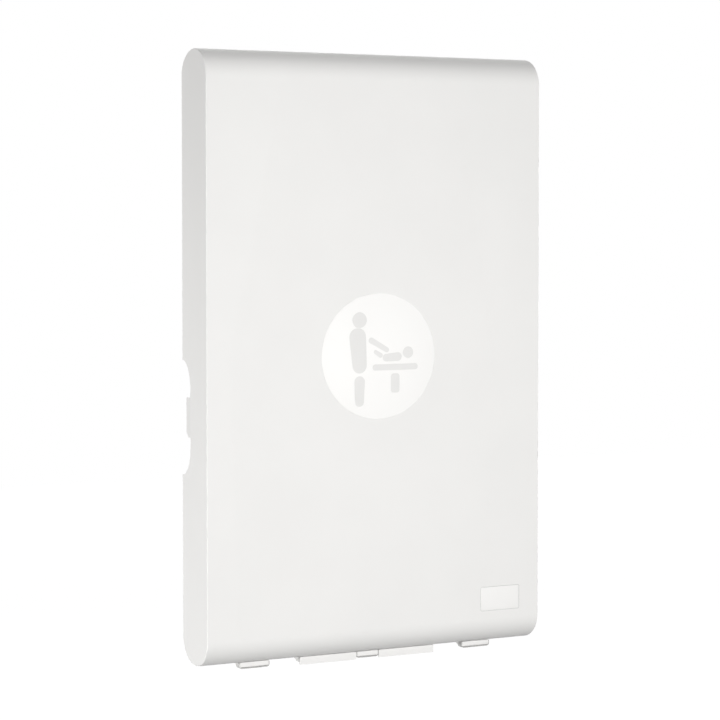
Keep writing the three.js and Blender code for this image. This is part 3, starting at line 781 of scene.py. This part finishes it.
def make_lever_grip():
    (tip, _, low), (_, top, high) = in_mm(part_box("buckle_lever"))
    ridges = []
    for i in range(RIDGES):
        x = tip + RIDGE_START + i * RIDGE_PITCH
        outline = arc(x, top - RIDGE_SINK, RIDGE_RADIUS, RIDGE_RADIUS, 0, 180, steps=10)
        ridges.append(upwards("ridge", outline, low + RIDGE_MARGIN, high - RIDGE_MARGIN))
    grip = join("lever_ridges", ridges)
    soften(grip, RIDGE_BEVEL, angle=RIDGE_BEVEL_ANGLE)
    finish_piece(grip, "lever", finishes["grey_plastic"], "grey_plastic")


make_lever_grip()


# Wall screws: a round shank, a domed head and a cross recess

def make_screw(node):
    (_, tip, _), (_, end, _) = in_mm(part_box(node))
    x, z = screw_place(node)
    under = tip + SCREW_HEAD
    dome = arc(0, under - SCREW_HEAD_EDGE, SCREW_HEAD_RADIUS, SCREW_HEAD_EDGE - SCREW_HEAD,
               0, SCREW_DOME_END, steps=12)
    profile = [(SCREW_RADIUS, end), (SCREW_RADIUS, under), (SCREW_HEAD_RADIUS, under)] + dome
    rings = [[(u, y, v) for u, v in circle(x, z, radius, steps=40)] for radius, y in profile]
    screw = loft(node.replace("screw", "cross_screw"), rings)
    for width, height in ((CROSS_LENGTH, CROSS_WIDTH), (CROSS_WIDTH, CROSS_LENGTH)):
        boolean(screw, block("cross", x - width / 2, x + width / 2,
                             tip - OVERCUT, tip + CROSS_DEPTH, z - height / 2, z + height / 2))
    smooth(screw)
    finish_piece(screw, "wall_unit", finishes["steel"], "steel", node)


for name in frame["nodes"]:
    if "screw" in name:
        make_screw(name)


# Floor, light and background

WORLD_STRENGTH = 0.18
FLOOR_GREY = 0.14
FLOOR_ROUGHNESS = 0.9
FLOOR_GLOW = 0.92


def light_paths(tree):
    """1 for rays that see the background: straight, mirrored or through glass."""
    path = tree.nodes.new("ShaderNodeLightPath")
    total = path.outputs["Is Camera Ray"]
    for name in ("Is Glossy Ray", "Is Transmission Ray"):
        add = tree.nodes.new("ShaderNodeMath")
        add.operation = "MAXIMUM"
        tree.links.new(total, add.inputs[0])
        tree.links.new(path.outputs[name], add.inputs[1])
        total = add.outputs["Value"]
    return total


def make_world():
    world = bpy.data.worlds.new("studio")
    bpy.context.scene.world = world
    world.use_nodes = True
    tree = world.node_tree
    light = tree.nodes["Background"]
    light.inputs["Color"].default_value = (1, 1, 1, 1)
    light.inputs["Strength"].default_value = WORLD_STRENGTH
    white = tree.nodes.new("ShaderNodeBackground")
    white.inputs["Color"].default_value = (1, 1, 1, 1)
    white.inputs["Strength"].default_value = 1
    mix = tree.nodes.new("ShaderNodeMixShader")
    tree.links.new(light_paths(tree), mix.inputs["Fac"])
    tree.links.new(light.outputs["Background"], mix.inputs[1])
    tree.links.new(white.outputs["Background"], mix.inputs[2])
    tree.links.new(mix.outputs["Shader"], tree.nodes["World Output"].inputs["Surface"])


def make_floor():
    reach, z = FLOOR_REACH, -FLOOR_DROP
    corners = [(-reach, -reach, z), (reach, -reach, z), (reach, reach, z), (-reach, reach, z)]
    floor = make_object("floor", corners, [(0, 1, 2, 3)])
    material, shader = new_material("floor_white", (FLOOR_GREY, FLOOR_GREY, FLOOR_GREY), FLOOR_ROUGHNESS)
    tree = material.node_tree
    glow = tree.nodes.new("ShaderNodeEmission")
    glow.inputs["Strength"].default_value = FLOOR_GLOW
    shown = tree.nodes.new("ShaderNodeMixShader")
    both = tree.nodes.new("ShaderNodeAddShader")
    tree.links.new(shader.outputs["BSDF"], both.inputs[0])
    tree.links.new(glow.outputs["Emission"], both.inputs[1])
    tree.links.new(light_paths(tree), shown.inputs["Fac"])
    tree.links.new(shader.outputs["BSDF"], shown.inputs[1])
    tree.links.new(both.outputs["Shader"], shown.inputs[2])
    tree.links.new(shown.outputs["Shader"], tree.nodes["Material Output"].inputs["Surface"])
    floor.data.materials.append(material)


def area_light(name, place, target, size, watts):
    """A square lamp in metres, which lights the part and isn't seen itself."""
    data = bpy.data.lights.new(name, "AREA")
    data.size = size
    data.energy = watts
    lamp = bpy.data.objects.new(name, data)
    lamp.visible_camera = False
    lamp.visible_glossy = False
    lamp.location = place
    lamp.rotation_euler = (Vector(target) - Vector(place)).to_track_quat("-Z", "Y").to_euler()
    bpy.context.scene.collection.objects.link(lamp)


make_world()
make_floor()
area_light("key", place=(-0.2, -2.6, -0.04), target=(0, -0.05, 0), size=1.4, watts=60)
area_light("side_fill", place=(-2.27, 0.3, -0.62), target=(-0.27, -0.05, -0.3), size=0.6, watts=32)
area_light("right_fill", place=(2.6, 0.6, 0.2), target=(0.27, -0.05, 0), size=1.2, watts=20)
area_light("back_rim", place=(0.4, 2.8, 2.1), target=(0, 0, 0.1), size=2.0, watts=118)
bpy.context.scene.view_settings.view_transform = "Standard"
